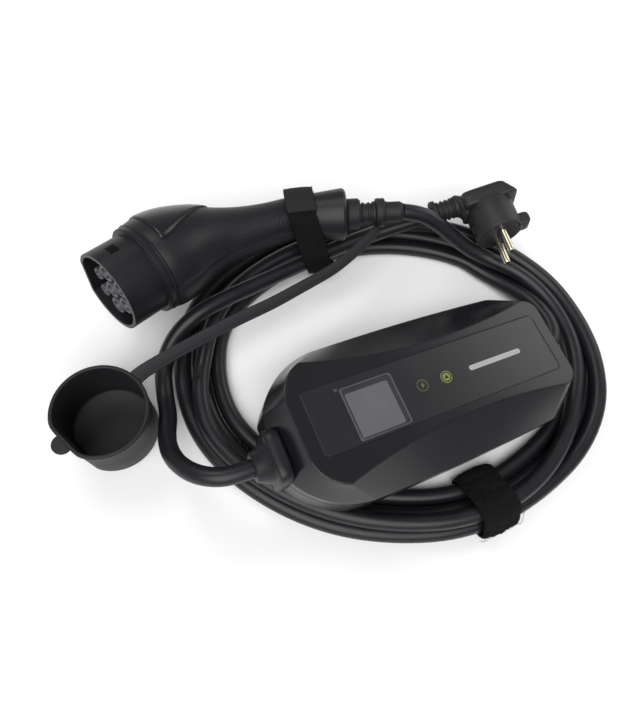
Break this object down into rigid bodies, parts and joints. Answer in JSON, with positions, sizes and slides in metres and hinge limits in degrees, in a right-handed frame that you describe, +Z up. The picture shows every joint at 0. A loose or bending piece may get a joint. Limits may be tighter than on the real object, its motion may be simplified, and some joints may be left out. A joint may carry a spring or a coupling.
{
  "type": "ev charger",
  "caption": "Portable charging lead for an electric car: vehicle connector with tethered dust cap, control box with display, angled mains plug and coiled cable tied with straps.",
  "frame": {"origin": "on the table, under the middle of the box around the connector, its dust cap and the control box", "axes": "+Z up from the table, +X along the table to the right as seen from the front, +Y away from the front"},
  "size_m": [0.3728, 0.2562, 0.0835],
  "materials": {
    "nose": "satin",
    "carrier": "matt",
    "contacts": "bright",
    "handle": "satin",
    "trim": "semi-gloss",
    "screws": "plain",
    "nut": "satin",
    "rubber": "matt",
    "case": "semi-gloss",
    "panel": "semi-gloss",
    "window": "gloss",
    "lens": "frosted",
    "board": "satin",
    "relay": "plain",
    "terminal": "plain",
    "plug": "satin",
    "pins": "bright",
    "cable": "satin",
    "strap": "looped pile"
  },
  "bodies": {
    "lead": {"nose_shroud": "nose", "contact_carrier": "carrier", "power_contacts": "contacts", "signal_contacts": "contacts", "collar_ring": "nose", "handle_shell_left": "handle", "handle_shell_right": "handle", "top_trim": "trim", "handle_screws": "screws", "cord_clamp": "carrier", "tail_nut": "nut", "gun_cable_boot": "rubber", "case_base": "case", "case_cover": "case", "case_seal": "rubber", "front_panel": "panel", "display_window": "window", "light_bar": "lens", "status_lights": "lens", "case_screws": "screws", "circuit_board": "board", "relays": "relay", "transformer": "relay", "current_sensor": "relay", "terminal_block": "terminal", "display_module": "board", "left_gland": "nut", "right_gland": "nut", "plug_shell": "plug", "plug_face": "plug", "plug_pins": "pins", "earth_clips": "pins", "plug_boot": "rubber", "plug_lead": "cable", "gun_lead_start": "cable", "gun_lead_coil": "cable", "gun_lead_end": "cable", "handle_strap": "strap", "coil_strap": "strap"},
    "cap": {"dust_cap": "rubber"}
  },
  "joints": [
    {"name": "cap_swivel", "type": "hinge", "parent": "lead", "child": "cap", "pos_m": [0.03867, 0.09349, 0.0508], "axis": [-0.9935, -0.0608, -0.0958], "range_deg": [0, 90]}
  ]
}
